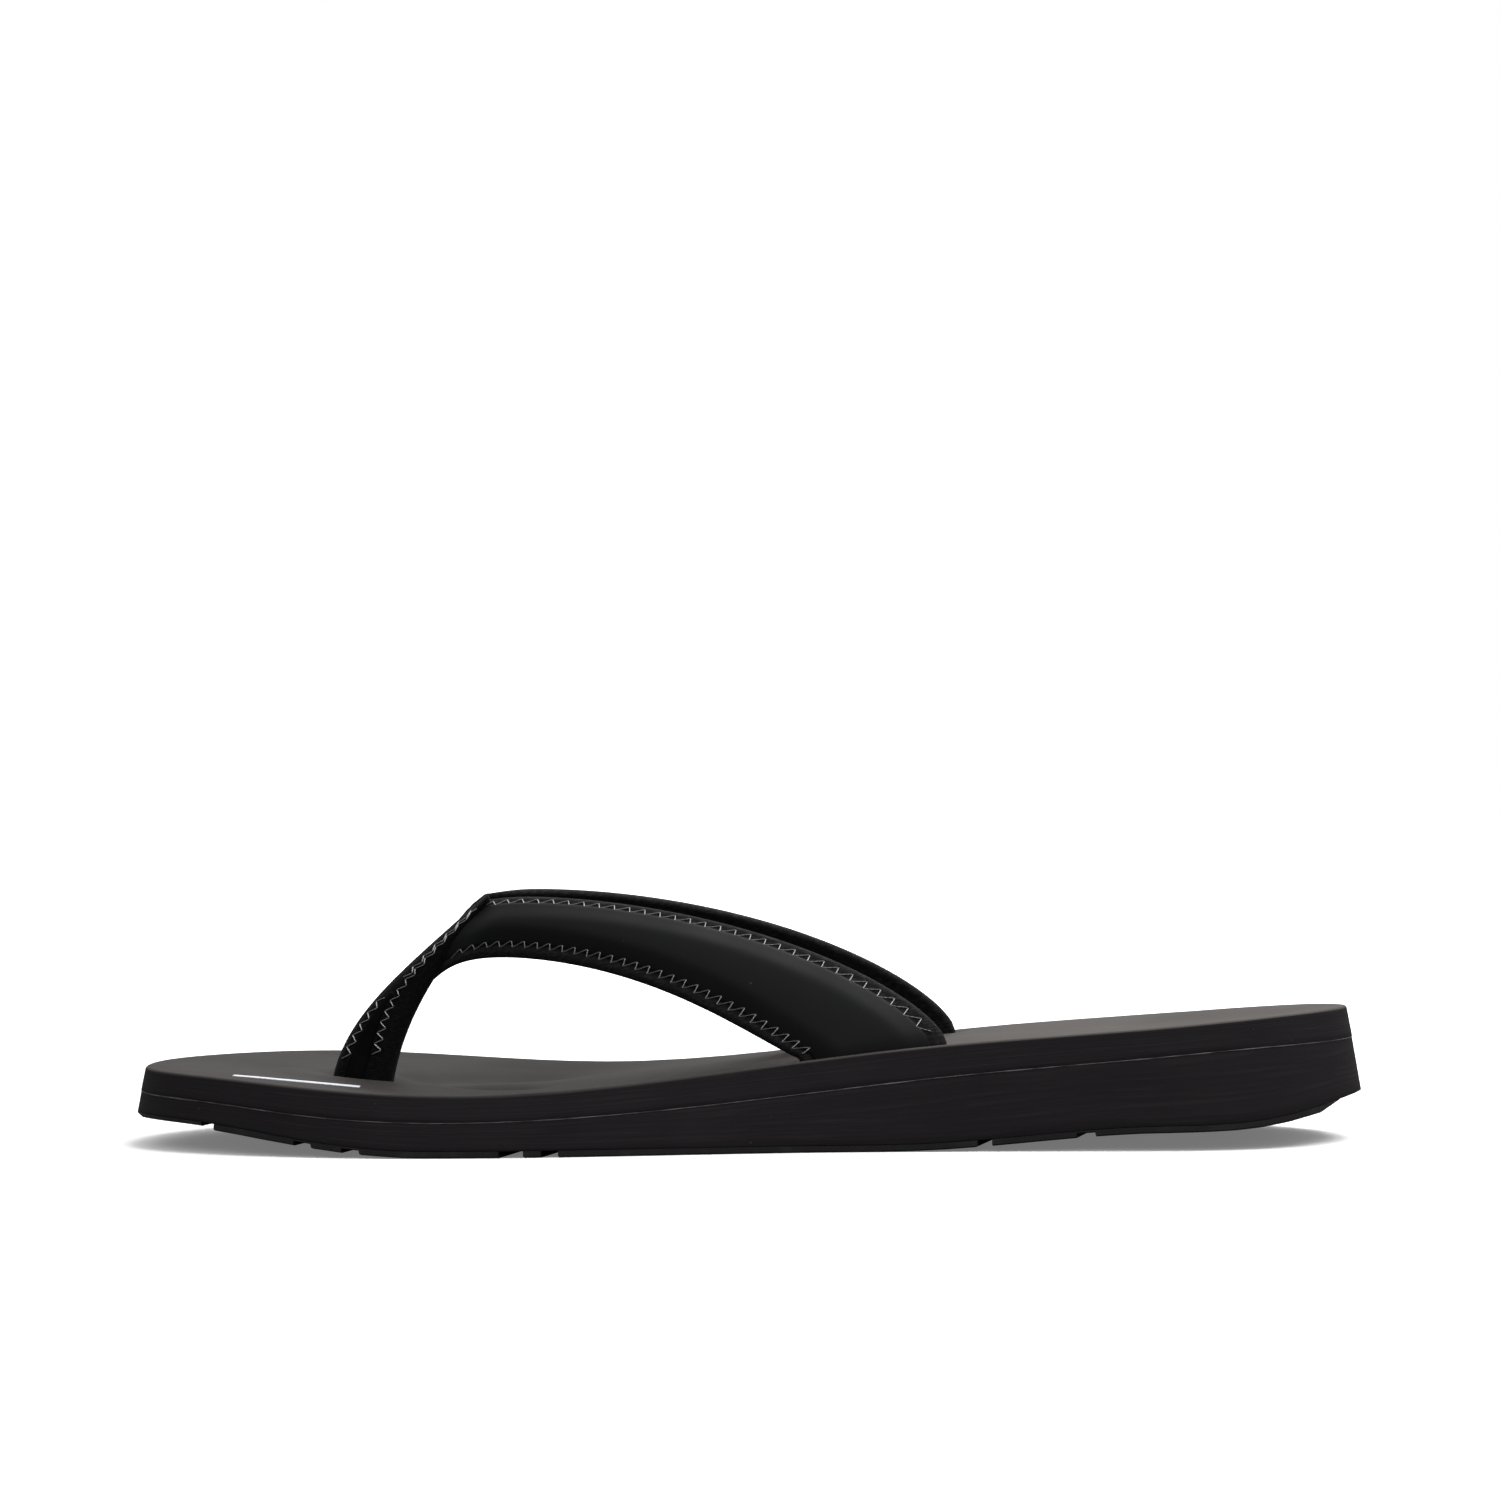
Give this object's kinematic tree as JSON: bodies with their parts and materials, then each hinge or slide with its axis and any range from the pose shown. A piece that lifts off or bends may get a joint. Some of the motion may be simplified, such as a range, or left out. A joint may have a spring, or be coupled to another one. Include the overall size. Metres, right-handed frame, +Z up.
{
  "type": "flip flop",
  "caption": "Right thong sandal: two-layer foam sole on rubber pods, padded Y-strap, fabric toe post.",
  "frame": {"origin": "on the ground, under the middle of the sole", "axes": "+X from the toe to the heel, -Y to the inner (medial) side of the foot, +Z up"},
  "size_m": [0.2881, 0.1064, 0.0588],
  "materials": {
    "footbed_foam": "foamed, fine matte skin",
    "midsole_foam": "skived foam, fine lengthwise lines",
    "outsole_rubber": "moulded rubber, matte",
    "strap_jersey": "fine knit",
    "strap_padding": "foam wrapped in fine knit",
    "strap_panel": "smooth coated synthetic, soft sheen",
    "strap_webbing": "woven nylon",
    "anchor_plastic": "moulded, matte",
    "print_film": "thin matte print"
  },
  "bodies": {
    "rear": {"footbed_rear": "footbed_foam", "midsole_rear": "midsole_foam", "outsole_ball": "outsole_rubber", "outsole_midfoot": "outsole_rubber", "outsole_heel": "outsole_rubber", "medial_strap_lining": "strap_jersey", "medial_strap_foam": "strap_padding", "medial_strap_panel": "strap_panel", "medial_strap_tab": "strap_webbing", "lateral_strap_lining": "strap_jersey", "lateral_strap_foam": "strap_padding", "lateral_strap_panel": "strap_panel", "lateral_strap_tab": "strap_webbing"},
    "front": {"footbed_front": "footbed_foam", "midsole_front": "midsole_foam", "outsole_toe": "outsole_rubber", "outsole_forefoot": "outsole_rubber", "toe_post_cover": "strap_panel", "toe_post_webbing": "strap_webbing", "toe_post_anchor": "anchor_plastic", "footbed_mark": "print_film"}
  },
  "joints": [
    {"name": "sole_flex", "type": "hinge", "parent": "rear", "child": "front", "pos_m": [-0.04075, 0, 0.0145], "axis": [0.2689, 0.9632, 0], "range_deg": [0, 35], "stiffness_Nm_per_rad": 0.9, "deforming": ["toe_post_cover", "toe_post_webbing"]}
  ]
}
